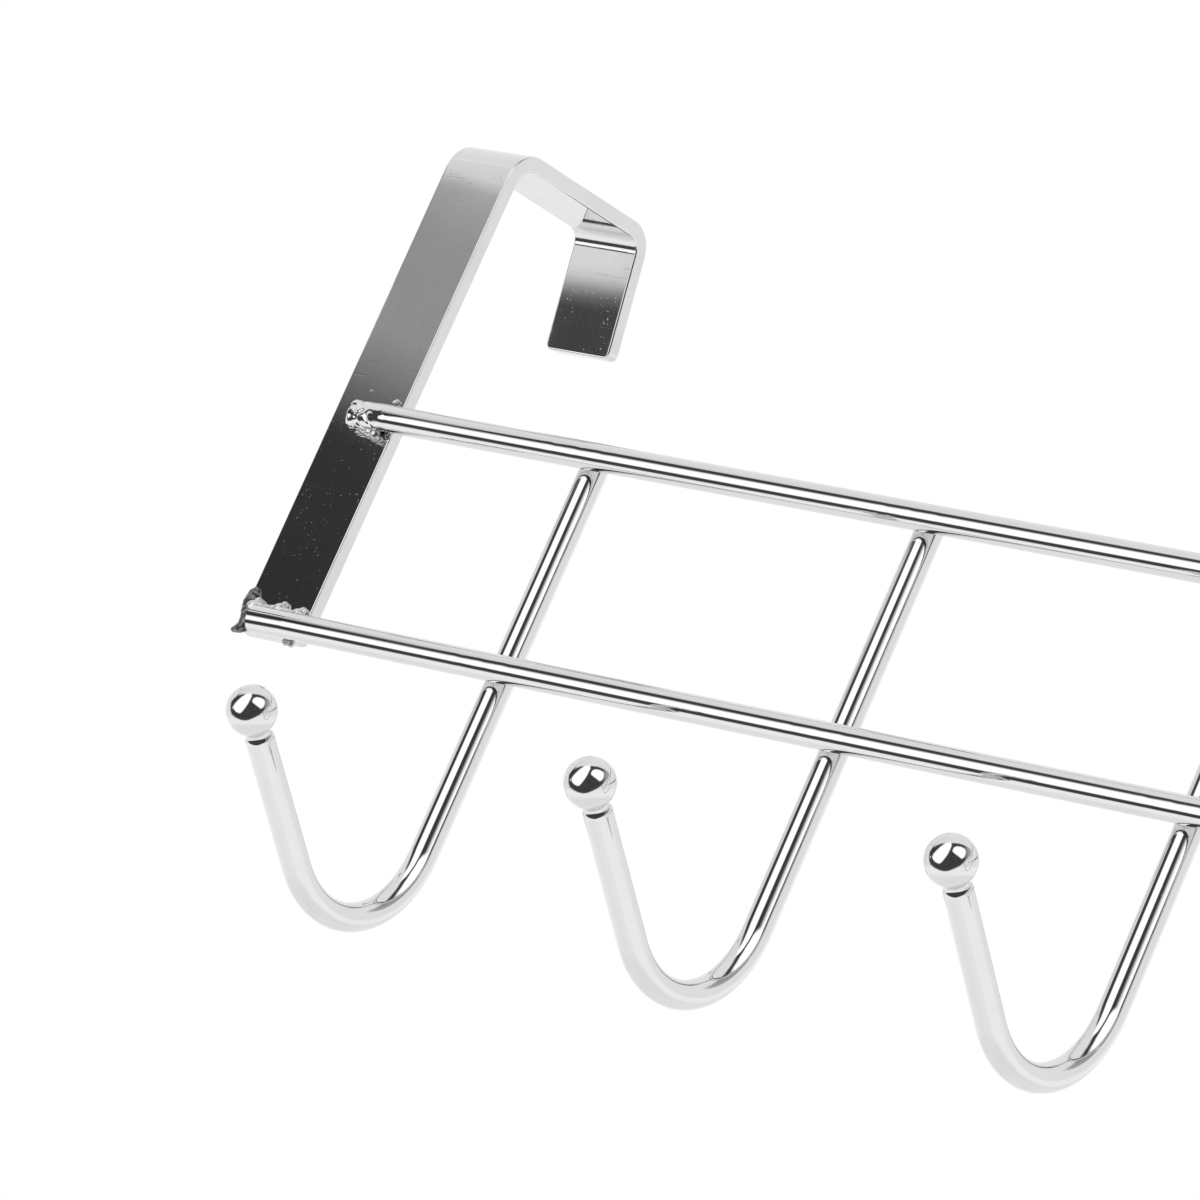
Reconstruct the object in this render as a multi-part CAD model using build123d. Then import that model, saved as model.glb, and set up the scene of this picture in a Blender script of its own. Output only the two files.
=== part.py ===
from build123d import *
import math
import os

# Over door hook rack: two flat bar straps, two round rails, five wire hooks with ball tips.
# X runs along the rack, Y goes back through the door, Z is up.
# The origin is the middle of the rack's length, where the inner faces of a strap's front leg
# and top would meet: the front edge of the door's top.

# Row of hooks
hook_count = 5
hook_pitch = 75.0
end_spacing = 52.75           # last hook wire to the middle of the strap

# Round stock and welded seats
wire_diameter = 5.2
rail_diameter = 5.1
weld_set_down = 0.3           # how deep two crossing pieces are pressed into each other
rail_drop = 55.6              # door edge down to the upper rail's axis
rail_spacing = 42.7           # upper rail's axis to the lower rail's axis
wire_top_inset = 0.6          # wire ends this far under the upper rail's top
wire_end_chamfer = 0.4

# Flat bar straps
strap_width = 15.2
strap_thickness = 3.0
strap_edge_radius = 0.35
strap_corner_radius = 1.4
strap_bottom_reach = 1.8      # strap ends this far under the lower rail's axis
door_gap = 38.0               # between the two legs, at the strap's top
top_rise_angle = 7.8          # degrees that the top climbs from front to back
back_leg_flare = 13.3         # degrees that the back leg opens out from the door
back_leg_length = 23.0        # along its inner face, from the corner with the top
front_bend_radius = 4.5       # inner radius
back_bend_radius = 3.0        # inner radius

# Hook wires
hook_straight = 35.0          # lower rail's axis down to the start of the bend
hook_bend_radius = 19.5       # wire's axis
hook_sweep_angle = 122.0      # degrees
hook_tip_length = 32.0        # end of the bend to the ball's centre

# Ball tips
ball_diameter = 9.0
neck_waist_inset = 0.35       # how far the neck's waist lies inside the wire's skin
neck_hollow_radius = 1.0      # hollow between the waist and the ball
neck_shoulder_radius = 2.0    # rounded shoulder between the waist and the wire
ball_neck_length = 6.4        # ball's centre to its flat seat on the wire

# Squashed rail ends
upper_rail_inset = 4.0        # strap's outer edge to the end of the upper rail
lower_rail_inset = 0.3        # strap's outer edge to the end of the lower rail
squash_length = 8.5           # melted and flattened stretch of each end
squashed_height = 5.6
squashed_depth = 3.8

# Weld metal, as drops: distance from the strap's outer edge, height above the rail's axis, radius
upper_weld_drops = [
    (5.2, -2.2, 1.1),
    (6.6, -2.2, 1.2),
    (8.1, -2.3, 1.2),
    (9.7, -2.3, 1.2),
    (11.2, -2.5, 1.4),
    (12.6, -2.8, 1.5),
    (13.5, -3.6, 0.9),
]
lower_weld_drops = [
    (1.9, 2.6, 1.6),
    (2.9, 3.9, 0.9),
    (4.2, 2.4, 1.2),
    (5.8, 2.3, 1.2),
    (7.3, 2.4, 1.2),
    (8.8, 3.0, 1.4),
    (9.0, 4.2, 0.7),
    (10.4, 2.4, 1.2),
    (11.8, 2.4, 1.2),
    (13.2, 2.8, 1.3),
    (13.7, 3.9, 0.8),
]
weld_drop_bury = 0.35         # share of a drop's radius that lies behind the strap's face

# Worked out from the sizes above
rail_radius = rail_diameter / 2
wire_radius = wire_diameter / 2
ball_radius = ball_diameter / 2
strap_x = hook_pitch * (hook_count - 1) / 2 + end_spacing
strap_edge_x = strap_x + strap_width / 2
strap_front_y = -strap_thickness
rail_y = strap_front_y - rail_radius + weld_set_down
wire_y = rail_y + rail_radius + wire_radius - weld_set_down
upper_rail_z = -rail_drop
lower_rail_z = upper_rail_z - rail_spacing
strap_bottom_z = lower_rail_z - strap_bottom_reach


def outward_corner(corner, first_normal, second_normal, distance):
    """Point that lies the given distance outside both faces that meet at a corner."""
    between = 1 + first_normal.dot(second_normal)
    return corner + (first_normal + second_normal) * (distance / between)


def make_strap(centre_x):
    """Flat bar folded over the door: front leg, rising top and a short flared back leg."""
    rise = math.radians(top_rise_angle)
    flare = math.radians(back_leg_flare)
    leg_normal = Vector(0, -1, 0)
    top_normal = Vector(0, -math.sin(rise), math.cos(rise))
    back_normal = Vector(0, math.cos(flare), math.sin(flare))
    half = strap_thickness / 2
    back_corner = Vector(0, door_gap, door_gap * math.tan(rise))
    back_down = Vector(0, math.sin(flare), -math.cos(flare))
    points = [
        Vector(0, -half, strap_bottom_z),
        outward_corner(Vector(0, 0, 0), leg_normal, top_normal, half),
        outward_corner(back_corner, top_normal, back_normal, half),
        back_corner + back_down * back_leg_length + back_normal * half,
    ]
    bends = [front_bend_radius + half, back_bend_radius + half]
    middle_line = FilletPolyline(*points, radius=bends)
    start_plane = Plane(origin=points[0], x_dir=(1, 0, 0), z_dir=(0, 0, 1))
    section = start_plane * Rectangle(strap_width, strap_thickness)
    bar = sweep(section, path=middle_line)
    end_point = points[-1]
    end_corners = bar.edges().filter_by(
        lambda edge: edge.length < strap_thickness * 1.01
        and (edge.center() - end_point).length < strap_width / 2 + strap_thickness
    )
    bar = fillet(end_corners, strap_corner_radius)
    above_bottom_z = strap_bottom_z + strap_thickness
    rounded_edges = bar.edges().filter_by(lambda edge: edge.center().Z > above_bottom_z)
    bar = fillet(rounded_edges, strap_edge_radius)
    return Pos(centre_x, 0, 0) * bar


def make_rail(axis_z, end_inset, straps):
    """Round rod across both straps, its ends melted flat on them and its back pressed flat."""
    end_x = strap_edge_x - end_inset
    round_end_x = end_x - squash_length
    squashed_y = strap_front_y - squashed_depth / 2 + weld_set_down
    round_plane = Plane(origin=(round_end_x, rail_y, axis_z), x_dir=(0, 1, 0), z_dir=(1, 0, 0))
    flat_plane = Plane(origin=(end_x, squashed_y, axis_z), x_dir=(0, 1, 0), z_dir=(1, 0, 0))
    round_section = round_plane * Circle(rail_radius)
    flat_section = flat_plane * Ellipse(squashed_depth / 2, squashed_height / 2)
    right_end = loft([round_section, flat_section])
    rod = extrude(round_section, amount=-2 * round_end_x)
    rail = rod + right_end + mirror(right_end, about=Plane.YZ)
    for strap in straps:
        rail = rail - strap
    return rail


def hook_tip_direction():
    """Direction of the straight tip, forwards and up."""
    sweep_angle = math.radians(hook_sweep_angle)
    return Vector(0, -math.sin(sweep_angle), -math.cos(sweep_angle))


def ball_centre(centre_x):
    """Centre of the ball on the hook at the given place along the rack."""
    corner_drop = hook_bend_radius * math.tan(math.radians(hook_sweep_angle) / 2)
    corner = Vector(centre_x, wire_y, lower_rail_z - hook_straight - corner_drop)
    return corner + hook_tip_direction() * (corner_drop + hook_tip_length)


def make_hook_wire(centre_x, rails):
    """Wire welded behind both rails and bent forwards into a J, with a flat end for its ball."""
    top = Vector(centre_x, wire_y, upper_rail_z + rail_radius - wire_top_inset)
    corner_drop = hook_bend_radius * math.tan(math.radians(hook_sweep_angle) / 2)
    corner = Vector(centre_x, wire_y, lower_rail_z - hook_straight - corner_drop)
    seat = ball_centre(centre_x) - hook_tip_direction() * ball_neck_length
    middle_line = FilletPolyline(top, corner, seat, radius=hook_bend_radius)
    section = Plane(origin=top, x_dir=(1, 0, 0), z_dir=(0, 0, 1)) * Circle(wire_radius)
    wire = sweep(section, path=middle_line)
    top_rim = wire.edges().filter_by(lambda edge: edge.center().Z > top.Z - wire_radius / 2)
    wire = chamfer(top_rim.filter_by(GeomType.CIRCLE), wire_end_chamfer)
    for rail in rails:
        wire = wire - rail
    return wire


def make_hook_ball(centre_x):
    """Ball tip turned with a waisted neck, whose rounded shoulder ends flat on the wire."""
    waist_radius = wire_radius - neck_waist_inset
    hollow_r = waist_radius + neck_hollow_radius
    hollow_s = -math.sqrt((ball_radius + neck_hollow_radius) ** 2 - hollow_r ** 2)
    shoulder_r = wire_radius - neck_shoulder_radius
    between = neck_hollow_radius + neck_shoulder_radius
    turn = math.acos((hollow_r - shoulder_r) / between)
    shoulder_s = hollow_s - between * math.sin(turn)
    touch_share = ball_radius / (ball_radius + neck_hollow_radius)
    touch = (hollow_r * touch_share, hollow_s * touch_share)
    meet = (
        shoulder_r + neck_shoulder_radius * math.cos(turn),
        shoulder_s + neck_shoulder_radius * math.sin(turn),
    )
    shoulder_middle = (
        shoulder_r + neck_shoulder_radius * math.cos(turn / 2),
        shoulder_s + neck_shoulder_radius * math.sin(turn / 2),
    )
    ball_arc = ThreePointArc((0, ball_radius), (ball_radius, 0), touch)
    hollow_arc = ThreePointArc(touch, (waist_radius, hollow_s), meet)
    shoulder_arc = ThreePointArc(meet, shoulder_middle, (wire_radius, shoulder_s))
    neck_side = Line((wire_radius, shoulder_s), (wire_radius, -ball_neck_length))
    seat_line = Line((wire_radius, -ball_neck_length), (0, -ball_neck_length))
    axis_line = Line((0, -ball_neck_length), (0, ball_radius))
    outline = make_face([ball_arc, hollow_arc, shoulder_arc, neck_side, seat_line, axis_line])
    ball = revolve(outline, axis=Axis.Y)
    across = Vector(1, 0, 0).cross(hook_tip_direction())
    return Plane(origin=ball_centre(centre_x), x_dir=(1, 0, 0), z_dir=across) * ball


def make_right_weld(axis_z, drops, strap, rail):
    """Drops of weld metal run together along the seam between the right strap and a rail."""
    bead = None
    for from_edge, height, radius in drops:
        drop_x = strap_edge_x - from_edge
        drop_y = strap_front_y - radius * (1 - weld_drop_bury)
        drop = Pos(drop_x, drop_y, axis_z + height) * Sphere(radius)
        bead = drop if bead is None else bead + drop
    return bead - strap - rail


def make_parts():
    """All pieces of the rack by name."""
    left_strap = make_strap(-strap_x)
    right_strap = make_strap(strap_x)
    straps = [left_strap, right_strap]
    upper_rail = make_rail(upper_rail_z, upper_rail_inset, straps)
    lower_rail = make_rail(lower_rail_z, lower_rail_inset, straps)
    upper_right_weld = make_right_weld(upper_rail_z, upper_weld_drops, right_strap, upper_rail)
    lower_right_weld = make_right_weld(lower_rail_z, lower_weld_drops, right_strap, lower_rail)
    parts = {
        "left_strap": left_strap,
        "right_strap": right_strap,
        "upper_rail": upper_rail,
        "lower_rail": lower_rail,
        "upper_right_weld": upper_right_weld,
        "lower_right_weld": lower_right_weld,
        "upper_left_weld": mirror(upper_right_weld, about=Plane.YZ),
        "lower_left_weld": mirror(lower_right_weld, about=Plane.YZ),
    }
    for number in range(hook_count):
        centre_x = (number - (hook_count - 1) / 2) * hook_pitch
        parts[f"hook_wire_{number + 1}"] = make_hook_wire(centre_x, [upper_rail, lower_rail])
        parts[f"hook_ball_{number + 1}"] = make_hook_ball(centre_x)
    return parts


os.makedirs("parts", exist_ok=True)
for name, shape in make_parts().items():
    export_step(shape, f"parts/{name}.step")
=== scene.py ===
import math

import bmesh
import bpy
from mathutils import Matrix, Vector, noise


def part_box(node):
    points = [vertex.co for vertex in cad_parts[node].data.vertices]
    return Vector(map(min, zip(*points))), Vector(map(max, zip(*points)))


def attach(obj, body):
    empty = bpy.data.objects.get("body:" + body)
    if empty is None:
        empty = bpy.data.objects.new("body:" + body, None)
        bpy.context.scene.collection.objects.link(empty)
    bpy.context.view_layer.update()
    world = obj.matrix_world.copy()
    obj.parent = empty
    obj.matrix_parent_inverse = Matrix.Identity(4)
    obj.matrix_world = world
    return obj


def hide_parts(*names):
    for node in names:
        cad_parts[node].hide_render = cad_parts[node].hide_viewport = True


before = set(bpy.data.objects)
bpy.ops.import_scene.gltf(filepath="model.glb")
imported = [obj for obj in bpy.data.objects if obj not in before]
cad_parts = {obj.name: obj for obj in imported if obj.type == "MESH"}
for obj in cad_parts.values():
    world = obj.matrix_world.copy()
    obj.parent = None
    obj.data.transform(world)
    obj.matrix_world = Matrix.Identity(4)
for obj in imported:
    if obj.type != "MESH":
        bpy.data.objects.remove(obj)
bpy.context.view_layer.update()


# Hook wires: five round steel wires with bright chrome, each bent into a J on a former.
# They hang behind both rails and are resistance welded to them where they cross.
MM = 0.001
WIRE_RADIUS = 2.6 * MM
HOOK_STRAIGHT = 35.0 * MM
HOOK_BEND_RADIUS = 19.5 * MM
HOOK_SWEEP = math.radians(122.0)
HOOK_TIP_LENGTH = 32.0 * MM
BALL_SEAT = 6.4 * MM
WIRE_TOP_CHAMFER = 0.4 * MM
WIRE_SIDES = 64
BEND_STEPS = 96
HOOK_COUNT = 5
WIRE_CREASE = math.radians(35)
MERGE_DISTANCE = 0.002 * MM
CHROME_TINT = (0.715, 0.718, 0.722, 1.0)
CHROME_STAIN = (0.62, 0.625, 0.63, 1.0)


class Value:
    """An output socket of a node tree, on which sums can be written as Python expressions."""

    def __init__(self, maker, socket):
        self.maker = maker
        self.socket = socket

    def sum(self, operation, first, second):
        return self.maker.add("ShaderNodeMath", {"operation": operation}, {0: first, 1: second})

    def __add__(self, other):
        return self.sum("ADD", self, other)

    def __radd__(self, other):
        return self.sum("ADD", other, self)

    def __sub__(self, other):
        return self.sum("SUBTRACT", self, other)

    def __rsub__(self, other):
        return self.sum("SUBTRACT", other, self)

    def __mul__(self, other):
        return self.sum("MULTIPLY", self, other)

    def __rmul__(self, other):
        return self.sum("MULTIPLY", other, self)

    def __truediv__(self, other):
        return self.sum("DIVIDE", self, other)

    def __rtruediv__(self, other):
        return self.sum("DIVIDE", other, self)

    def __pow__(self, other):
        return self.sum("POWER", self, other)

    def lowest(self, other):
        return self.sum("MINIMUM", self, other)

    def highest(self, other):
        return self.sum("MAXIMUM", self, other)


class Maker:
    """Adds nodes to one tree, settings first and then the values or links of their sockets."""

    def __init__(self, tree):
        self.tree = tree

    def add(self, kind, settings=None, inputs=None, output=0):
        node = self.tree.nodes.new(kind)
        for name, setting in (settings or {}).items():
            if name == "stops":
                self.set_stops(node.color_ramp, setting)
            elif name == "items":
                while len(node.index_switch_items) < setting:
                    node.index_switch_items.new()
            else:
                setattr(node, name, setting)
        for name, value in (inputs or {}).items():
            socket = node.inputs[name]
            if isinstance(value, Value):
                self.tree.links.new(value.socket, socket)
            else:
                socket.default_value = value
        return Value(self, node.outputs[output]) if len(node.outputs) else node

    def set_stops(self, ramp, stops):
        while len(ramp.elements) < len(stops):
            ramp.elements.new(1.0)
        for element, (place, level) in zip(ramp.elements, stops):
            element.position = place
            element.color = (level, level, level, 1.0)

    def rise(self, value, start, end):
        """0 where the value is at its start, 1 at its end, and smooth between."""
        return self.add(
            "ShaderNodeMapRange",
            {"interpolation_type": "SMOOTHSTEP"},
            {"Value": value, "From Min": start, "From Max": end},
        )

    def mix(self, share, first, second):
        return self.add(
            "ShaderNodeMix",
            {"data_type": "RGBA"},
            {"Factor": share, 6: first, 7: second},
            output=2,
        )

    def dot(self, vector, direction):
        return self.add(
            "ShaderNodeVectorMath",
            {"operation": "DOT_PRODUCT"},
            {0: vector, 1: direction},
            output="Value",
        )

    def stretched(self, vector, scale, turn=(0, 0, 0)):
        return self.add(
            "ShaderNodeMapping", None, {"Vector": vector, "Scale": scale, "Rotation": turn}
        )

    def speckle(self, vector, scale, detail=2.0, roughness=0.5):
        return self.add(
            "ShaderNodeTexNoise",
            None,
            {"Vector": vector, "Scale": scale, "Detail": detail, "Roughness": roughness},
        )

    def pits(self, vector, scale, reach):
        """1 in small round pits, 0 on the skin between them."""
        distance = self.add(
            "ShaderNodeTexVoronoi", None, {"Vector": vector, "Scale": scale}, output="Distance"
        )
        return 1 - self.rise(distance, start=reach * 0.4, end=reach)

    def scratches(self, vector, along, across, share, turn=(0, 0, 0)):
        """Thin marks that run one way: 1 in the mark, 0 beside it."""
        drawn_out = self.stretched(vector, scale=(across, along, along), turn=turn)
        fine = self.speckle(drawn_out, scale=1.0, detail=3.0)
        return self.rise(fine, start=1 - share, end=1 - share * 0.6)


class Finish(Maker):
    """A metal finish: one material whose colour, gloss and small relief come from nodes."""

    def __init__(self, name):
        self.material = bpy.data.materials.new(name)
        self.material.use_nodes = True
        super().__init__(self.material.node_tree)
        self.shader = self.tree.nodes["Principled BSDF"]
        self.shader.inputs["Metallic"].default_value = 1.0
        self.place = self.add("ShaderNodeTexCoord", output="Object")

    def bump(self, height, distance, strength=1.0, below=None):
        inputs = {"Height": height, "Distance": distance, "Strength": strength}
        if below is not None:
            inputs["Normal"] = below
        return self.add("ShaderNodeBump", None, inputs)

    def wear(self, colour, roughness, normal):
        for name, value in (("Base Color", colour), ("Roughness", roughness), ("Normal", normal)):
            self.tree.links.new(value.socket, self.shader.inputs[name])
        return self.material


def make_bright_chrome():
    finish = Finish("bright_chrome")
    place = finish.place
    breath = finish.speckle(place, scale=90.0, detail=4.0, roughness=0.6)
    smudge = finish.rise(breath, start=0.45, end=0.75)
    cloud = finish.speckle(place, scale=60.0, detail=1.0)
    pitted_area = finish.rise(finish.speckle(place, scale=300.0), start=0.56, end=0.66)
    pits = finish.pits(place, scale=900.0, reach=0.16) * pitted_area
    colour = finish.mix((smudge * 0.18 + pits * 0.3).lowest(1.0), CHROME_TINT, CHROME_STAIN)
    roughness = 0.035 + smudge * 0.04 + pits * 0.15
    normal = finish.bump(cloud, distance=0.03 * MM, strength=0.3)
    return finish.wear(colour, roughness, normal)


bright_chrome = make_bright_chrome()
tip_direction = Vector((0, -math.sin(HOOK_SWEEP), -math.cos(HOOK_SWEEP)))
corner_drop = HOOK_BEND_RADIUS * math.tan(HOOK_SWEEP / 2)
lower_rail_low, lower_rail_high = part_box("lower_rail")
lower_rail_z = (lower_rail_low.z + lower_rail_high.z) / 2


def hook_corner(centre_x, wire_y):
    return Vector((centre_x, wire_y, lower_rail_z - HOOK_STRAIGHT - corner_drop))


def ball_centre(centre_x, wire_y):
    reach = corner_drop + HOOK_TIP_LENGTH
    return hook_corner(centre_x, wire_y) + tip_direction * reach


def make_wire_tree():
    """Node tree that sweeps a round section along a line with one rounded corner."""
    tree = bpy.data.node_groups.new("bent_hook_wire", "GeometryNodeTree")
    inputs = (
        ("Top", "NodeSocketVector"),
        ("Corner", "NodeSocketVector"),
        ("Seat", "NodeSocketVector"),
        ("Bend Radius", "NodeSocketFloat"),
        ("Wire Radius", "NodeSocketFloat"),
        ("Top Chamfer", "NodeSocketFloat"),
        ("Finish", "NodeSocketMaterial"),
    )
    for name, kind in inputs:
        tree.interface.new_socket(name, in_out="INPUT", socket_type=kind)
    tree.interface.new_socket("Wire", in_out="OUTPUT", socket_type="NodeSocketGeometry")
    maker = Maker(tree)
    given = tree.nodes.new("NodeGroupInput")
    size = {name: Value(maker, given.outputs[name]) for name, kind in inputs}
    index = maker.add("GeometryNodeInputIndex")
    drop = maker.add("ShaderNodeCombineXYZ", None, {"Z": 0 - size["Top Chamfer"]})
    shoulder = maker.add(
        "ShaderNodeVectorMath", {"operation": "ADD"}, {0: size["Top"], 1: drop}
    )
    place = maker.add(
        "GeometryNodeIndexSwitch",
        {"data_type": "VECTOR", "items": 4},
        {"Index": index, "0": size["Top"], "1": shoulder, "2": size["Corner"], "3": size["Seat"]},
    )
    points = maker.add("GeometryNodeMeshLine", {"mode": "OFFSET"}, {"Count": 4})
    line = maker.add("GeometryNodeMeshToCurve", None, {"Mesh": points})
    line = maker.add("GeometryNodeSetPosition", None, {"Geometry": line, "Position": place})
    narrow = 1 - size["Top Chamfer"] / size["Wire Radius"]
    thickness = maker.add(
        "GeometryNodeIndexSwitch",
        {"data_type": "FLOAT", "items": 4},
        {"Index": index, "0": narrow, "1": 1.0, "2": 1.0, "3": 1.0},
    )
    line = maker.add("GeometryNodeSetCurveRadius", None, {"Curve": line, "Radius": thickness})
    bend = maker.add(
        "GeometryNodeIndexSwitch",
        {"data_type": "FLOAT", "items": 4},
        {"Index": index, "0": 0.0, "1": 0.0, "2": size["Bend Radius"], "3": 0.0},
    )
    line = maker.add(
        "GeometryNodeFilletCurve",
        {"mode": "POLY"},
        {"Curve": line, "Count": BEND_STEPS, "Radius": bend},
    )
    section = maker.add(
        "GeometryNodeCurvePrimitiveCircle",
        {"mode": "RADIUS"},
        {"Resolution": WIRE_SIDES, "Radius": size["Wire Radius"]},
    )
    wire = maker.add(
        "GeometryNodeCurveToMesh",
        None,
        {"Curve": line, "Profile Curve": section, "Fill Caps": True},
    )
    wire = maker.add("GeometryNodeSetShadeSmooth", None, {"Geometry": wire})
    wire = maker.add("GeometryNodeRealizeInstances", None, {"Geometry": wire})
    wire = maker.add(
        "GeometryNodeSetMaterial", None, {"Geometry": wire, "Material": size["Finish"]}
    )
    result = tree.nodes.new("NodeGroupOutput")
    tree.links.new(wire.socket, result.inputs["Wire"])
    return tree


def grow(name, tree, values):
    """Runs a Geometry Nodes tree with the given inputs and keeps its result as a plain mesh."""
    piece = bpy.data.objects.new(name, bpy.data.meshes.new(name + "_seed"))
    bpy.context.scene.collection.objects.link(piece)
    modifier = piece.modifiers.new("grow", "NODES")
    modifier.node_group = tree
    for item in tree.interface.items_tree:
        if item.in_out == "INPUT" and item.name in values:
            modifier[item.identifier] = values[item.name]
    shown = piece.evaluated_get(bpy.context.evaluated_depsgraph_get())
    mesh = bpy.data.meshes.new_from_object(shown)
    piece.modifiers.remove(modifier)
    mesh.name = name
    piece.data = mesh
    return piece


def finish_mesh(mesh, crease):
    """Faces outwards, doubles merged, smooth up to the crease angle."""
    work = bmesh.new()
    work.from_mesh(mesh)
    bmesh.ops.remove_doubles(work, verts=work.verts, dist=MERGE_DISTANCE)
    bmesh.ops.recalc_face_normals(work, faces=work.faces)
    for face in work.faces:
        face.smooth = True
    work.to_mesh(mesh)
    work.free()
    mesh.set_sharp_from_angle(angle=crease)


def settle(piece, slot, *nodes):
    """Puts a finished piece on the rack: it rides on the one body and stands for its nodes."""
    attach(piece, "root")
    if nodes:
        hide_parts(*nodes)


wire_tree = make_wire_tree()
hook_places = []
for number in range(1, HOOK_COUNT + 1):
    wire_low, wire_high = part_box(f"hook_wire_{number}")
    wire_y = wire_high.y - WIRE_RADIUS
    centre_x = (wire_low.x + wire_high.x) / 2
    hook_places.append((centre_x, wire_y))
    wire = grow(
        f"bent_wire_{number}",
        wire_tree,
        {
            "Top": Vector((centre_x, wire_y, wire_high.z)),
            "Corner": hook_corner(centre_x, wire_y),
            "Seat": ball_centre(centre_x, wire_y) - tip_direction * BALL_SEAT,
            "Bend Radius": HOOK_BEND_RADIUS,
            "Wire Radius": WIRE_RADIUS,
            "Top Chamfer": WIRE_TOP_CHAMFER,
            "Finish": bright_chrome,
        },
    )
    finish_mesh(wire.data, WIRE_CREASE)
    settle(wire, "round_plate", f"hook_wire_{number}")


# Ball tips: solid steel balls with a hollow turned neck, welded on the ends of the wires.
# They are plated together with the wire, so the skin is one mirror from neck to ball.
BALL_RADIUS = 4.5 * MM
WAIST_RADIUS = 2.25 * MM
HOLLOW_RADIUS = 1.0 * MM
SHOULDER_RADIUS = 2.0 * MM
BALL_RINGS = 56
HOLLOW_RINGS = 20
SHOULDER_RINGS = 12
BALL_SIDES = 96
BALL_CREASE = math.radians(50)


def ball_profile():
    """Radius and height along the tip for each ring, from the seat up to the pole."""
    hollow_r = WAIST_RADIUS + HOLLOW_RADIUS
    hollow_s = -math.sqrt((BALL_RADIUS + HOLLOW_RADIUS) ** 2 - hollow_r**2)
    shoulder_r = WIRE_RADIUS - SHOULDER_RADIUS
    between = HOLLOW_RADIUS + SHOULDER_RADIUS
    turn = math.acos((hollow_r - shoulder_r) / between)
    shoulder_s = hollow_s - between * math.sin(turn)
    touch = math.atan2(-hollow_s, hollow_r)
    rings = [(WIRE_RADIUS, -BALL_SEAT)]
    for step in range(SHOULDER_RINGS):
        angle = turn * step / SHOULDER_RINGS
        rings.append(
            (
                shoulder_r + SHOULDER_RADIUS * math.cos(angle),
                shoulder_s + SHOULDER_RADIUS * math.sin(angle),
            )
        )
    for step in range(HOLLOW_RINGS + 1):
        angle = -turn + (turn + touch) * step / HOLLOW_RINGS
        rings.append(
            (hollow_r - HOLLOW_RADIUS * math.cos(angle), hollow_s + HOLLOW_RADIUS * math.sin(angle))
        )
    for step in range(1, BALL_RINGS):
        angle = -touch + (touch + math.pi / 2) * step / BALL_RINGS
        rings.append((BALL_RADIUS * math.cos(angle), BALL_RADIUS * math.sin(angle)))
    return rings


def lathe(name, rings, pole, centre, axis, sides):
    """Closed mesh turned about an axis, with a flat seat at one end and a pole at the other."""
    across = axis.cross(Vector((1, 0, 0))).normalized()
    side = across.cross(axis)
    work = bmesh.new()
    loops = []
    for radius, height in rings:
        loop = []
        for step in range(sides):
            angle = 2 * math.pi * step / sides
            out = side * math.cos(angle) + across * math.sin(angle)
            loop.append(work.verts.new(centre + axis * height + out * radius))
        loops.append(loop)
    tip = work.verts.new(centre + axis * pole)
    work.faces.new(reversed(loops[0]))
    for lower, upper in zip(loops, loops[1:]):
        for step in range(sides):
            after = (step + 1) % sides
            work.faces.new((lower[step], lower[after], upper[after], upper[step]))
    for step in range(sides):
        work.faces.new((loops[-1][step], loops[-1][(step + 1) % sides], tip))
    mesh = bpy.data.meshes.new(name)
    work.to_mesh(mesh)
    work.free()
    piece = bpy.data.objects.new(name, mesh)
    bpy.context.scene.collection.objects.link(piece)
    return piece


for number, (centre_x, wire_y) in enumerate(hook_places, start=1):
    ball = lathe(
        f"ball_tip_{number}",
        ball_profile(),
        BALL_RADIUS,
        ball_centre(centre_x, wire_y),
        tip_direction,
        BALL_SIDES,
    )
    finish_mesh(ball.data, BALL_CREASE)
    ball.data.materials.append(bright_chrome)
    settle(ball, "round_plate", f"hook_ball_{number}")


# Rails: two round steel rods across both straps, chromed bright like the wires.
# Their ends were melted flat on the straps, and electrodes left small dents at each hook.
RAIL_RADIUS = 2.55 * MM
SQUASH_LENGTH = 8.5 * MM
SQUASHED_HALF_HEIGHT = 2.8 * MM
SQUASHED_HALF_DEPTH = 1.9 * MM
WELD_SET_DOWN = 0.3 * MM
CRUMPLE_LENGTH = 9.7 * MM
CRUMPLE_HEIGHTS = {"upper_rail": 0.28 * MM, "lower_rail": 0.0}
CRUMPLE_SCALE = 2.4 * MM
LUMP_SHARE = 0.8
CREVICE_SCALE = 0.8
CREVICE_SLOPE = 5
CREVICE_SHIFT = Vector((7.1, 0, 3.3))
END_TRIM = {"upper_rail": 2.0 * MM, "lower_rail": 4.8 * MM}
SQUASH_SHARE = {"upper_rail": 1.0, "lower_rail": 0.15}
RAIL_SEEDS = {"upper_rail": 3.7, "lower_rail": 11.2}
MELT_POWER = 0.7
END_RINGS = ((0.92, 0.10 * MM), (0.75, 0.22 * MM), (0.5, 0.3 * MM), (0.25, 0.34 * MM))
END_STEP = 0.16 * MM
END_STEPS = int(CRUMPLE_LENGTH * 1.15 / END_STEP)
DENT_STEP = 0.5 * MM
DENT_REACH = 12 * MM
DENT_SPREAD = 1.1 * MM
DENT_DEPTH = 0.012 * MM
DENT_OFFSETS = (-5.2 * MM, 0.4 * MM, 5.9 * MM)
RAIL_SIDES = 96
RAIL_CREASE = math.radians(60)
strap_low, strap_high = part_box("left_strap")
strap_front_y = strap_low.y


def rail_stations(end_x):
    """Places along a rail, close together at its ends and at the hooks."""
    places = set()
    for step in range(END_STEPS + 1):
        for side in (-1, 1):
            places.add(round(side * (end_x - step * END_STEP), 7))
    steps = int(DENT_REACH / DENT_STEP)
    for centre_x, wire_y in hook_places:
        for step in range(-steps, steps + 1):
            places.add(round(centre_x + step * DENT_STEP, 7))
    return sorted(places)


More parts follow.
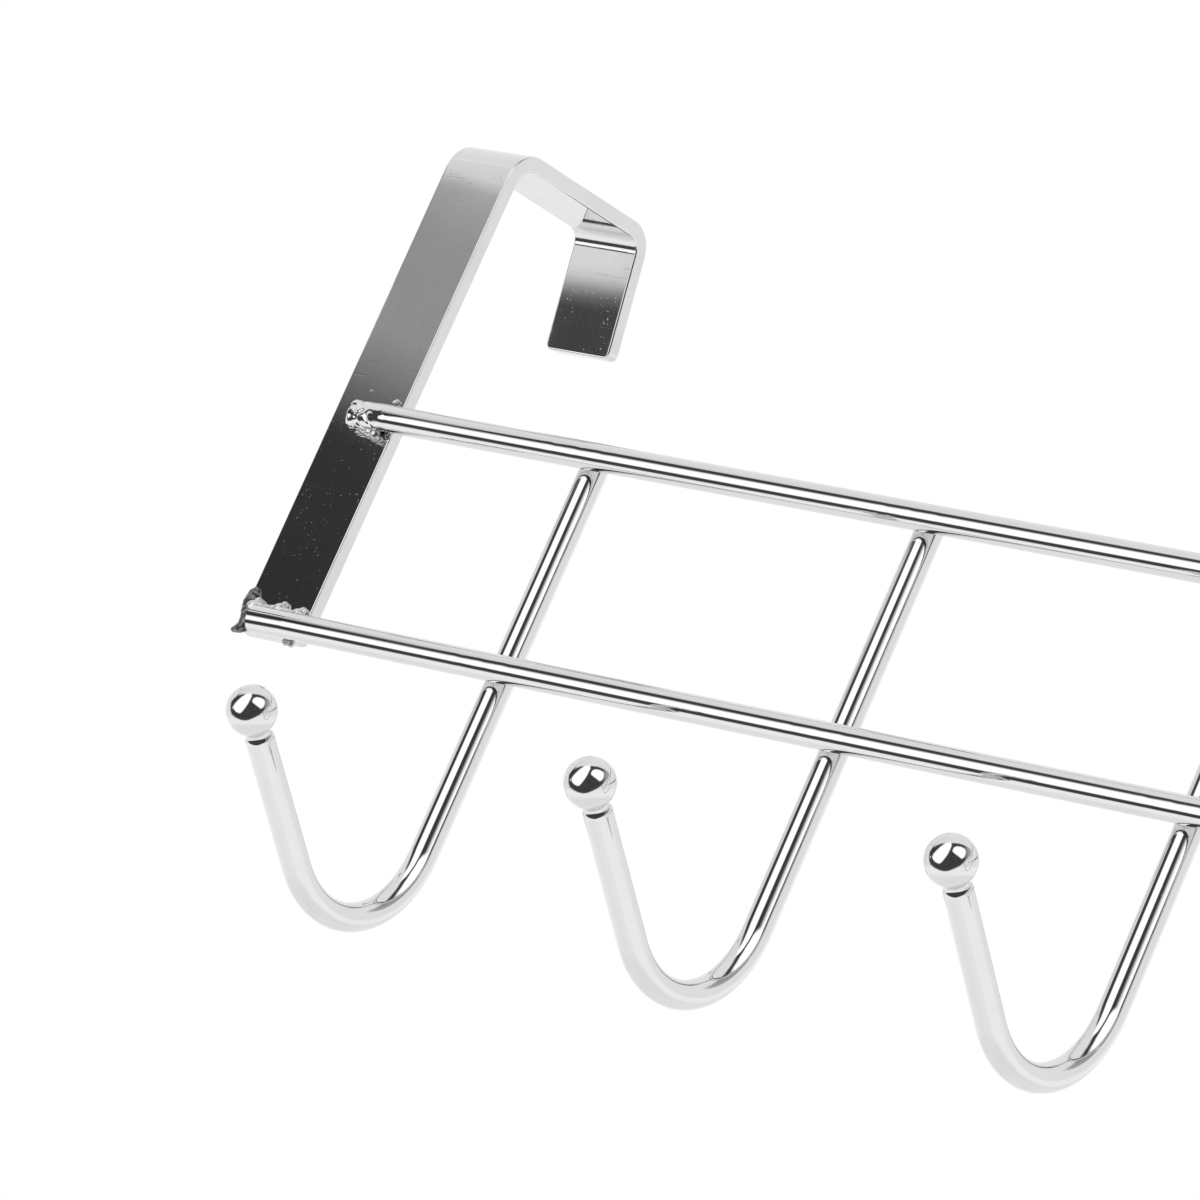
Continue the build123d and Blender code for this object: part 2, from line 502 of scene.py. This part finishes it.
def crumple(point, outward, height, seed):
    """Moves a point of a melted end in and out by a fixed noise with narrow crevices."""
    spot = point / CRUMPLE_SCALE + Vector((seed, seed * 0.7, 0))
    lump = noise.noise(spot)
    crevice = min(1.0, abs(noise.noise(spot * CREVICE_SCALE + CREVICE_SHIFT)) * CREVICE_SLOPE)
    return point + outward * (height * (lump * LUMP_SHARE + crevice - 0.9))


def dent(x):
    """Depth of the electrode marks beside the hooks at a place along the rail."""
    depth = 0.0
    for centre_x, wire_y in hook_places:
        for offset in DENT_OFFSETS:
            away = (x - centre_x - offset) / DENT_SPREAD
            depth += DENT_DEPTH * math.exp(-away * away)
    return depth


def make_rail(name, node):
    low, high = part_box(node)
    seed = RAIL_SEEDS[node]
    end_x = high.x - END_TRIM[node]
    axis_z = (low.z + high.z) / 2
    rail_y = low.y + RAIL_RADIUS
    flat_y = strap_front_y - SQUASHED_HALF_DEPTH + WELD_SET_DOWN
    work = bmesh.new()
    loops = []
    for x in rail_stations(end_x):
        squash = max(0.0, (abs(x) - end_x + SQUASH_LENGTH) / SQUASH_LENGTH) * SQUASH_SHARE[node]
        melted = max(0.0, (abs(x) - end_x + CRUMPLE_LENGTH) / CRUMPLE_LENGTH) ** MELT_POWER
        height = CRUMPLE_HEIGHTS[node] * melted
        half_depth = RAIL_RADIUS + squash * (SQUASHED_HALF_DEPTH - RAIL_RADIUS) - dent(x)
        half_height = RAIL_RADIUS + squash * (SQUASHED_HALF_HEIGHT - RAIL_RADIUS) - dent(x)
        centre_y = rail_y + squash * (flat_y - rail_y)
        loop = []
        for step in range(RAIL_SIDES):
            angle = 2 * math.pi * step / RAIL_SIDES
            out = Vector((0, math.cos(angle), math.sin(angle)))
            point = Vector(
                (x, centre_y + out.y * half_depth, axis_z + out.z * half_height)
            )
            loop.append(work.verts.new(crumple(point, out, height, seed) if melted else point))
        loops.append(loop)
    for lower, upper in zip(loops, loops[1:]):
        for step in range(RAIL_SIDES):
            after = (step + 1) % RAIL_SIDES
            work.faces.new((lower[step], lower[after], upper[after], upper[step]))
    for loop, side in ((loops[0], -1), (loops[-1], 1)):
        rim = loop
        middle = sum((vert.co for vert in loop), Vector()) / RAIL_SIDES
        for share, bulge in END_RINGS:
            inner = []
            for vert in loop:
                point = middle + (vert.co - middle) * share
                point.x = vert.co.x + side * bulge
                inner.append(work.verts.new(crumple(point, Vector((side, 0, 0)), height, seed)))
            for step in range(RAIL_SIDES):
                after = (step + 1) % RAIL_SIDES
                work.faces.new((rim[step], rim[after], inner[after], inner[step]))
            rim = inner
        work.faces.new(rim)
    mesh = bpy.data.meshes.new(name)
    work.to_mesh(mesh)
    work.free()
    rail = bpy.data.objects.new(name, mesh)
    bpy.context.scene.collection.objects.link(rail)
    finish_mesh(mesh, RAIL_CREASE)
    mesh.materials.append(bright_chrome)
    settle(rail, "round_plate", node)


make_rail("upper_rod", "upper_rail")
make_rail("lower_rod", "lower_rail")


# Straps: flat steel bar folded cold over the door, with a short flared back leg.
# The chrome is thinner here and shows the bar's rolling lines, fine pits and scratches.
STRAP_WIDTH = 15.2 * MM
STRAP_THICKNESS = 3.0 * MM
STRAP_EDGE_RADIUS = 0.35 * MM
STRAP_CORNER_RADIUS = 1.4 * MM
STRAP_END_ROUND = 0.3 * MM
TOP_RISE = math.radians(7.8)
BACK_FLARE = math.radians(13.3)
DOOR_GAP = 38.0 * MM
BACK_LEG_LENGTH = 23.0 * MM
FRONT_BEND = 4.5 * MM
BACK_BEND = 3.0 * MM
STRAP_BEND_STEPS = 28
STRAP_STEP = 4.0 * MM
STRAP_CORNER_SIDES = 8
STRAP_CORNER_STEPS = 8
STRAP_ROUND_STEPS = 6
STRAP_FACE_SHARES = (0.99, 0.94, 0.7, 0.35, 0.0, -0.35, -0.7, -0.94, -0.99)
STRAP_CREASE = math.radians(40)
STRAP_TINT = (0.71, 0.712, 0.715, 1.0)
STRAP_STAIN = (0.5, 0.505, 0.51, 1.0)


def make_strap_chrome():
    finish = Finish("strap_chrome")
    place = finish.place
    drawn_out = finish.stretched(place, scale=(1500.0, 25.0, 25.0))
    rolling = finish.speckle(drawn_out, scale=1.0, detail=3.0, roughness=0.6)
    cross = finish.scratches(place, along=1500.0, across=90.0, share=0.38, turn=(0, 0, 0.2))
    pitted_area = finish.rise(finish.speckle(place, scale=260.0), start=0.45, end=0.62)
    pits = finish.pits(place, scale=1300.0, reach=0.2) * pitted_area
    orange_peel = finish.speckle(place, scale=160.0)
    breath = finish.speckle(place, scale=120.0, detail=4.0, roughness=0.65)
    smudge = finish.rise(breath, start=0.42, end=0.7)
    colour = finish.mix((pits * 0.6 + smudge * 0.15).lowest(1.0), STRAP_TINT, STRAP_STAIN)
    roughness = 0.03 + smudge * 0.03 + rolling * 0.03 + pits * 0.2 + cross * 0.06
    normal = finish.bump(orange_peel, distance=0.03 * MM, strength=0.2)
    normal = finish.bump(rolling, distance=0.006 * MM, strength=0.3, below=normal)
    sunk = 1 - pits * 0.7 - cross * 0.4
    normal = finish.bump(sunk, distance=0.012 * MM, strength=0.5, below=normal)
    return finish.wear(colour, roughness, normal)


strap_chrome = make_strap_chrome()


def outward_corner(corner, first_normal, second_normal, distance):
    """Point that lies the given distance outside both faces that meet at a corner."""
    return corner + (first_normal + second_normal) * (
        distance / (1 + first_normal.dot(second_normal))
    )


def strap_line(bottom_z):
    """Middle line of the bar as points, with arcs at the two folds."""
    half = STRAP_THICKNESS / 2
    leg_normal = Vector((0, -1, 0))
    top_normal = Vector((0, -math.sin(TOP_RISE), math.cos(TOP_RISE)))
    back_normal = Vector((0, math.cos(BACK_FLARE), math.sin(BACK_FLARE)))
    back_down = Vector((0, math.sin(BACK_FLARE), -math.cos(BACK_FLARE)))
    back_corner = Vector((0, DOOR_GAP, DOOR_GAP * math.tan(TOP_RISE)))
    route = [
        Vector((0, -half, bottom_z)),
        outward_corner(Vector((0, 0, 0)), leg_normal, top_normal, half),
        outward_corner(back_corner, top_normal, back_normal, half),
        back_corner + back_down * BACK_LEG_LENGTH + back_normal * half,
    ]
    line = [route[0]]
    for before, corner, after, bend in (
        (route[0], route[1], route[2], FRONT_BEND + half),
        (route[1], route[2], route[3], BACK_BEND + half),
    ):
        way_in = (corner - before).normalized()
        way_out = (after - corner).normalized()
        turn = way_in.angle(way_out)
        start = corner - way_in * (bend * math.tan(turn / 2))
        inward = (way_out - way_in * way_out.dot(way_in)).normalized()
        centre = start + inward * bend
        for step in range(STRAP_BEND_STEPS + 1):
            angle = turn * step / STRAP_BEND_STEPS
            line.append(
                centre + (way_in * math.sin(angle) - inward * math.cos(angle)) * bend
            )
    line.append(route[3])
    return line


def spaced(line):
    """The line with points added on its long runs and close to its two ends."""
    near_ends = [
        STRAP_CORNER_RADIUS * (1 - math.cos(math.pi / 2 * step / STRAP_CORNER_STEPS))
        for step in range(STRAP_CORNER_STEPS + 1)
    ]
    near_ends += [
        STRAP_END_ROUND * (1 - math.cos(math.pi / 2 * step / STRAP_ROUND_STEPS))
        for step in range(1, STRAP_ROUND_STEPS)
    ]
    length = sum((b - a).length for a, b in zip(line, line[1:]))
    run = 0.0
    places = {0.0, length}
    for a, b in zip(line, line[1:]):
        count = max(1, round((b - a).length / STRAP_STEP))
        for step in range(count + 1):
            places.add(round(run + (b - a).length * step / count, 8))
        run += (b - a).length
    for gap in near_ends:
        places.update((round(gap, 8), round(length - gap, 8)))
    result = []
    for place in sorted(places):
        if result and place - result[-1][0] < 1e-6:
            continue
        run = 0.0
        for a, b in zip(line, line[1:]):
            if place <= run + (b - a).length + 1e-9:
                break
            run += (b - a).length
        way = (b - a).normalized()
        result.append((place, length - place, a + way * (place - run), way))
    return result


def strap_section():
    """Outline of the bar: a rectangle with rounded edges and points along its wide faces."""
    half_width = STRAP_WIDTH / 2 - STRAP_EDGE_RADIUS
    half_depth = STRAP_THICKNESS / 2 - STRAP_EDGE_RADIUS
    outline = []
    corners = (
        (half_width, half_depth, 0.0),
        (-half_width, half_depth, math.pi / 2),
        (-half_width, -half_depth, math.pi),
        (half_width, -half_depth, 3 * math.pi / 2),
    )
    for number, (a, b, start) in enumerate(corners):
        for step in range(STRAP_CORNER_SIDES + 1):
            angle = start + math.pi / 2 * step / STRAP_CORNER_SIDES
            outline.append(
                (
                    a + STRAP_EDGE_RADIUS * math.cos(angle),
                    b + STRAP_EDGE_RADIUS * math.sin(angle),
                )
            )
        last_a, last_b = outline[-1]
        for share in STRAP_FACE_SHARES:
            if number % 2 == 0:
                outline.append((a * share, last_b))
            else:
                outline.append((last_a, b * share))
    return outline


def shrink(gap, radius):
    """How far an outline pulls in at this distance from an end rounded by the radius."""
    if gap >= radius:
        return 0.0
    return radius - math.sqrt(max(0.0, radius**2 - (radius - gap) ** 2))


def make_strap(name, node):
    low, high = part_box(node)
    centre_x = (low.x + high.x) / 2
    outline = strap_section()
    work = bmesh.new()
    loops = []
    for from_start, from_end, middle, way in spaced(strap_line(low.z)):
        gap = min(from_start, from_end)
        pull = shrink(gap, STRAP_END_ROUND)
        corner_pull = shrink(gap, STRAP_CORNER_RADIUS)
        half_width = STRAP_WIDTH / 2
        wide = (half_width - corner_pull - pull) / half_width
        deep = (STRAP_THICKNESS / 2 - pull) / (STRAP_THICKNESS / 2)
        outward = Vector((0, -way.z, way.y))
        loop = []
        for a, b in outline:
            point = middle + Vector((centre_x + a * wide, 0, 0)) + outward * (b * deep)
            loop.append(work.verts.new(point))
        loops.append(loop)
    for lower, upper in zip(loops, loops[1:]):
        for step in range(len(outline)):
            after = (step + 1) % len(outline)
            work.faces.new((lower[step], lower[after], upper[after], upper[step]))
    work.faces.new(loops[0])
    work.faces.new(loops[-1])
    mesh = bpy.data.meshes.new(name)
    work.to_mesh(mesh)
    work.free()
    strap = bpy.data.objects.new(name, mesh)
    bpy.context.scene.collection.objects.link(strap)
    finish_mesh(mesh, STRAP_CREASE)
    mesh.materials.append(strap_chrome)
    settle(strap, "strap_plate", node)


make_strap("folded_strap_left", "left_strap")
make_strap("folded_strap_right", "right_strap")


# Weld metal: steel from the arc that ran along the seam between each rail and its strap.
# It froze in drops with crevices between, and was plated over with everything else.
WELD_DROPS = {
    "upper": (
        (6.6, -1.2, 1.1), (7.9, -1.7, 1.1), (9.3, -2.1, 1.2), (10.8, -2.5, 1.2),
        (12.2, -2.8, 1.2), (13.4, -3.6, 0.8), (6.5, 5.7, 0.3), (5.9, 5.6, 0.2),
        (12.8, 4.0, 0.5), (13.4, 4.4, 0.5), (11.3, 4.8, 0.2),
    ),
    "lower": (
        (2.7, 2.4, 1.5), (3.0, 3.9, 0.9), (4.2, 2.4, 1.4), (5.8, 2.3, 1.4),
        (7.3, 2.4, 1.4), (8.8, 3.0, 1.4), (9.0, 4.4, 0.7), (10.4, 2.4, 1.3),
        (11.8, 2.4, 1.2), (13.2, 2.8, 1.3), (13.7, 3.9, 0.8), (12.9, -2.5, 0.8),
        (14.2, -2.6, 0.8),
    ),
}
DROP_BURY = 0.35
WELD_SEED = 2.3
WELD_SEED_STEP = 5.1
WELD_VOXEL = 0.13 * MM
WELD_LUMP = 0.06 * MM
WELD_LUMP_SCALE = 2.0 * MM
FINE_LUMP_SHARE = 0.5
FINE_LUMP_SCALE = 2.3
WELD_SMOOTHING = 14
WELD_CREASE = math.radians(75)
WELD_TINT = (0.66, 0.662, 0.665, 1.0)
WELD_STAIN = (0.16, 0.16, 0.165, 1.0)


def make_weld_chrome():
    finish = Finish("weld_chrome")
    place = finish.place
    crust = finish.speckle(place, scale=400.0, detail=1.0)
    burnt = finish.speckle(place, scale=330.0, detail=1.0)
    scorch = finish.rise(burnt, start=0.52, end=0.7)
    colour = finish.mix(scorch * 0.5, WELD_TINT, WELD_STAIN)
    roughness = 0.26 + crust * 0.1 + scorch * 0.15
    normal = finish.bump(crust, distance=0.01 * MM, strength=0.4)
    return finish.wear(colour, roughness, normal)


strap_edge_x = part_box("right_strap")[1].x
weld_chrome = make_weld_chrome()
rail_heights = {}
for level in ("upper", "lower"):
    rail_low, rail_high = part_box(f"{level}_rail")
    rail_heights[level] = (rail_low.z + rail_high.z) / 2


def melt(name, level, side, drops, seed):
    """Drops run together into one skin, then roughened by a fixed noise."""
    sign = 1 if side == "right" else -1
    work = bmesh.new()
    for from_edge, height, radius, *forward in drops:
        x = sign * (strap_edge_x - from_edge * MM)
        y = strap_front_y - radius * MM * (1 - DROP_BURY)
        if forward:
            y = strap_front_y - forward[0] * MM
        place = Matrix.Translation((x, y, rail_heights[level] + height * MM))
        bmesh.ops.create_icosphere(work, subdivisions=3, radius=radius * MM, matrix=place)
    mesh = bpy.data.meshes.new(name)
    work.to_mesh(mesh)
    work.free()
    weld = bpy.data.objects.new(name, mesh)
    bpy.context.scene.collection.objects.link(weld)
    remesh = weld.modifiers.new("run_together", "REMESH")
    remesh.mode = "VOXEL"
    remesh.voxel_size = WELD_VOXEL
    shown = weld.evaluated_get(bpy.context.evaluated_depsgraph_get())
    skin = bpy.data.meshes.new_from_object(shown)
    weld.modifiers.remove(remesh)
    weld.data = skin
    skin.name = name
    work = bmesh.new()
    work.from_mesh(skin)
    for turn in range(WELD_SMOOTHING):
        bmesh.ops.smooth_vert(
            work, verts=work.verts, factor=0.5, use_axis_x=True, use_axis_y=True, use_axis_z=True
        )
    work.to_mesh(skin)
    work.free()
    for vert in skin.vertices:
        spot = vert.co / WELD_LUMP_SCALE + Vector((seed, 0, seed))
        lump = noise.noise(spot) + FINE_LUMP_SHARE * noise.noise(spot * FINE_LUMP_SCALE)
        vert.co = vert.co + vert.normal * (WELD_LUMP * lump)
    finish_mesh(skin, WELD_CREASE)
    return weld


joints = (("upper", "left"), ("upper", "right"), ("lower", "left"), ("lower", "right"))
for number, (level, side) in enumerate(joints):
    seed = WELD_SEED + WELD_SEED_STEP * number
    weld = melt(f"weld_metal_{level}_{side}", level, side, WELD_DROPS[level], seed)
    weld.data.materials.append(weld_chrome)
    settle(weld, "weld_metal", f"{level}_{side}_weld")


# Scorched drips: strap metal that the arc melted and burnt dark along the strap's outer edge,
# running down over the end of the lower rail. Dull under a thin broken plate.
DRIP_DROPS = (
    (1.0, 6.2, 0.6), (0.9, 5.3, 0.9), (0.8, 4.3, 1.0, 0.6), (1.0, 3.3, 1.1, 0.8),
    (1.5, 2.4, 1.2, 1.0), (2.2, 1.4, 1.3, 1.3), (3.0, 0.4, 1.4, 1.6), (3.4, -0.7, 1.4, 1.9),
    (3.3, -1.6, 1.2, 2.0), (2.7, -2.1, 1.0, 2.0), (2.0, -2.4, 0.8, 1.9), (1.3, -2.6, 0.6, 1.8),
)
DRIP_TINT = (0.24, 0.24, 0.245, 1.0)
DRIP_STAIN = (0.05, 0.05, 0.055, 1.0)
DRIP_SEEDS = {"left": 31.7, "right": 38.0}


def make_drip_metal():
    finish = Finish("scorched_metal")
    scale_burnt = finish.speckle(finish.place, scale=900.0, detail=3.0, roughness=0.6)
    patch = finish.rise(scale_burnt, start=0.4, end=0.62)
    colour = finish.mix(patch, DRIP_TINT, DRIP_STAIN)
    roughness = 0.3 + patch * 0.15
    normal = finish.bump(patch, distance=0.03 * MM, strength=0.4)
    return finish.wear(colour, roughness, normal)


drip_metal = make_drip_metal()
for side, seed in DRIP_SEEDS.items():
    drip = melt(f"scorched_drip_{side}", "lower", side, DRIP_DROPS, seed)
    drip.data.materials.append(drip_metal)
    settle(drip, "weld_metal")


# Camera: it stands where the photograph was taken from, low under the rack and well off,
# with a long lens, and is turned in its own plane.
VIEW_AZIMUTH = math.radians(39.884)
VIEW_ELEVATION = math.radians(-15.604)
VIEW_ROLL = math.radians(23.831)
VIEW_PLACE = Vector((0.80282, -1.12462, -0.48933))
LENS_LENGTH = 258.6
SENSOR_WIDTH = 36.0
NEAREST_SEEN = 0.05
FARTHEST_SEEN = 50

to_camera = Vector(
    (
        math.sin(VIEW_AZIMUTH) * math.cos(VIEW_ELEVATION),
        -math.cos(VIEW_AZIMUTH) * math.cos(VIEW_ELEVATION),
        math.sin(VIEW_ELEVATION),
    )
)
level_right = Vector((math.cos(VIEW_AZIMUTH), math.sin(VIEW_AZIMUTH), 0))
level_up = to_camera.cross(level_right)
picture_right = level_right * math.cos(VIEW_ROLL) + level_up * math.sin(VIEW_ROLL)
picture_up = level_up * math.cos(VIEW_ROLL) - level_right * math.sin(VIEW_ROLL)
camera_data = bpy.data.cameras.new("photo_camera")
camera_data.lens = LENS_LENGTH
camera_data.sensor_width = SENSOR_WIDTH
camera_data.clip_start = NEAREST_SEEN
camera_data.clip_end = FARTHEST_SEEN
camera = bpy.data.objects.new("photo_camera", camera_data)
turn = Matrix((picture_right, picture_up, to_camera)).transposed().to_4x4()
camera.matrix_world = Matrix.Translation(VIEW_PLACE) @ turn
bpy.context.scene.collection.objects.link(camera)
bpy.context.scene.camera = camera
bpy.context.scene.view_settings.view_transform = "Standard"


# Studio: a white room with a dark opening and two bright panels in it, placed by where they
# show on a ball tip. A pale floor lies far below, and glowing cards, seen only in reflections,
# stand where the left strap mirrors them: their painted light, graded by height, gives the strap
# its darker and paler bands.
FLOOR_DEPTH = 2.03
FLOOR_SIZE = 14.0
FLOOR_TINT = (0.9, 0.9, 0.9, 1)
FLOOR_ROUGHNESS = 0.8
PANEL_LIGHT = 1.45
ROOM_LIGHT = 1.0
DARK_LIGHT = 0.06
SIDE_LIGHT = 0.38
EDGE_BLUR = 0.03
NEVER_ZERO = 0.0001
DARK_LEAST = 0.4
DARK_BLOTCH = 1.2
RIM_LIGHT = 0.14
CLOUD_SHADE = 0.05
OPENING = (
    (-0.80, 0.17), (-0.80, 0.0), (-0.75, -0.145), (-0.61, -0.26), (-0.42, -0.345),
    (-0.24, -0.375), (-0.09, -0.35), (0.09, -0.275), (0.30, -0.17), (0.41, -0.075),
    (0.67, 0.18), (0.71, 0.31), (0.65, 0.43), (0.49, 0.53), (0.29, 0.61), (0.09, 0.635),
    (-0.20, 0.635), (-0.36, 0.62), (-0.54, 0.55), (-0.68, 0.455), (-0.78, 0.32),
)
LEFT_PANEL = (
    (-0.69, 0.145), (-0.665, 0.05), (-0.59, -0.035), (-0.48, -0.09), (-0.40, -0.08),
    (-0.31, 0.02), (-0.21, 0.15), (-0.126, 0.28), (-0.055, 0.42), (0.01, 0.56),
    (-0.02, 0.645), (-0.21, 0.63), (-0.38, 0.515), (-0.532, 0.372), (-0.64, 0.25),
)
RIGHT_PANEL = (
    (0.03, 0.36), (0.06, 0.305), (0.355, 0.078), (0.435, 0.12), (0.49, 0.22),
    (0.51, 0.33), (0.47, 0.42), (0.35, 0.49), (0.19, 0.515), (0.08, 0.47),
)

world = bpy.data.worlds.new("white_room")
bpy.context.scene.world = world
world.use_nodes = True
sky = Maker(world.node_tree)
background = world.node_tree.nodes["Background"]
look = sky.add("ShaderNodeTexCoord", output="Generated")
ahead = sky.dot(look, to_camera)
# A ball shows each direction where its normal lies halfway between that and the camera.
spread = (ahead * 2 + (2 + NEVER_ZERO)) ** 0.5
across = sky.dot(look, picture_right) / spread
upward = sky.dot(look, picture_up) / spread


def left_of(start, end):
    """1 to the left of the line from start to end, as seen on a ball, with a soft edge."""
    run = Vector((end[0] - start[0], end[1] - start[1]))
    run.normalize()
    offset = run.x * start[1] - run.y * start[0]
    return sky.rise(upward * run.x - across * run.y - offset, -EDGE_BLUR, EDGE_BLUR)


def panel(corners):
    inside = None
    for start, end in zip(corners, corners[1:] + corners[:1]):
        edge = left_of(start, end)
        inside = edge if inside is None else inside.lowest(edge)
    return inside


opening = panel(OPENING)
blotch = sky.speckle(look, scale=7.0, detail=3.0)
lit_side = sky.rise(across, start=0.42, end=0.62)
dark = DARK_LIGHT * (DARK_LEAST + blotch * DARK_BLOTCH) + SIDE_LIGHT * lit_side
panels = panel(LEFT_PANEL).highest(panel(RIGHT_PANEL))
rim_foot = sky.rise(upward, start=-0.62, end=-0.45)
rim_top = sky.rise(upward, start=-0.30, end=-0.15)
cloud = sky.rise(sky.speckle(look, scale=3.0), start=0.4, end=0.7)
room = ROOM_LIGHT + RIM_LIGHT * (rim_foot * (1 - rim_top)) - CLOUD_SHADE * cloud
seen = room + opening * (dark - room) + panels * (PANEL_LIGHT - dark)
path = sky.add("ShaderNodeLightPath", output="Is Camera Ray")
strength = seen + path * (1 - seen)
world.node_tree.links.new(strength.socket, background.inputs["Strength"])
background.inputs["Color"].default_value = (1, 1, 1, 1)

floor_mesh = bpy.data.meshes.new("pale_floor")
half = FLOOR_SIZE / 2
floor_mesh.from_pydata(
    [(-half, -half, 0), (half, -half, 0), (half, half, 0), (-half, half, 0)], [], [(0, 1, 2, 3)]
)
floor_mesh.transform(Matrix.Translation((0, 0, -FLOOR_DEPTH)))
floor = bpy.data.objects.new("pale_floor", floor_mesh)
bpy.context.scene.collection.objects.link(floor)
floor_paint = bpy.data.materials.new("pale_floor")
floor_paint.use_nodes = True
floor_shader = floor_paint.node_tree.nodes["Principled BSDF"]
floor_shader.inputs["Base Color"].default_value = FLOOR_TINT
floor_shader.inputs["Roughness"].default_value = FLOOR_ROUGHNESS
floor_mesh.materials.append(floor_paint)
floor.visible_glossy = False


def make_card(name, place, turns, distance, width, levels):
    """Glowing card seen from a place by way of mirrors with the given turns: painted light graded
    by height, shown only in reflections.
    """
    way = (place - VIEW_PLACE).normalized()
    for turn in turns:
        way = way - 2 * way.dot(turn) * turn
    centre = place + way * distance
    side = way.cross(Vector((0, 0, 1))).normalized() * (width / 2)
    low = levels[0][0] * MM
    high = levels[-1][0] * MM
    corners = [Vector((centre.x, centre.y, z)) for z in (low, low, high, high)]
    corners = [corner + side * sign for corner, sign in zip(corners, (-1, 1, 1, -1))]
    mesh = bpy.data.meshes.new(name)
    mesh.from_pydata(corners, [], [(0, 1, 2, 3)])
    card = bpy.data.objects.new(name, mesh)
    bpy.context.scene.collection.objects.link(card)
    # The card's only colour is a glow graded by height: painted light that shows only in
    # reflections.
    paint = Finish(name)
    heights = paint.add("ShaderNodeSeparateXYZ", None, {0: paint.place}, output="Z")
    stops = [((z * MM - low) / (high - low), level) for z, level in levels]
    level = paint.add("ShaderNodeValToRGB", {"stops": stops}, {0: (heights - low) / (high - low)})
    glow = paint.add("ShaderNodeEmission", None, {"Color": level, "Strength": 1.0})
    output = paint.tree.nodes["Material Output"]
    paint.tree.links.new(glow.socket, output.inputs["Surface"])
    mesh.materials.append(paint.material)
    card.visible_camera = False
    card.visible_diffuse = False
    card.visible_shadow = False


strap_x = (strap_low.x + strap_high.x) / 2
fold_tilt = math.radians(10)
front_turn = Vector((0, -1, 0))
fold_turn = Vector((0, -math.cos(fold_tilt), math.sin(fold_tilt)))
back_turn = Vector((0, -math.cos(BACK_FLARE), -math.sin(BACK_FLARE)))
underside_turn = Vector((0, math.sin(TOP_RISE), -math.cos(TOP_RISE)))
# The levels below are painted light: dark and pale bands that the strap's faces and folds mirror.
make_card(
    "strap_card",
    place=Vector((strap_x, strap_front_y, -10 * MM)),
    turns=(front_turn,),
    distance=0.35,
    width=46 * MM,
    levels=(
        (-60, 0.03), (36, 0.045), (52, 0.27), (61, 0.38), (85, 0.39), (94, 0.45), (100, 0.52),
        (109, 0.88), (480, 0.92),
    ),
)
make_card(
    "top_fold_card",
    place=Vector((strap_x, strap_front_y, -3 * MM)),
    turns=(fold_turn,),
    distance=0.36,
    width=70 * MM,
    levels=((112, 0.88), (290, 0.92)),
)
make_card(
    "back_leg_card",
    place=Vector((strap_x, 42 * MM, -12 * MM)),
    turns=(back_turn,),
    distance=0.14,
    width=23 * MM,
    levels=(
        (-28, 0.07), (-16.3, 0.07), (-14.2, 0.17), (-12.2, 0.42), (-10.2, 0.78), (-8, 0.92),
        (3, 1.0),
    ),
)
make_card(
    "back_fold_card",
    place=Vector((strap_x, 38 * MM, -3 * MM)),
    turns=(underside_turn, back_turn),
    distance=0.60,
    width=34 * MM,
    levels=((-300, 1.2), (-225, 1.2)),
)
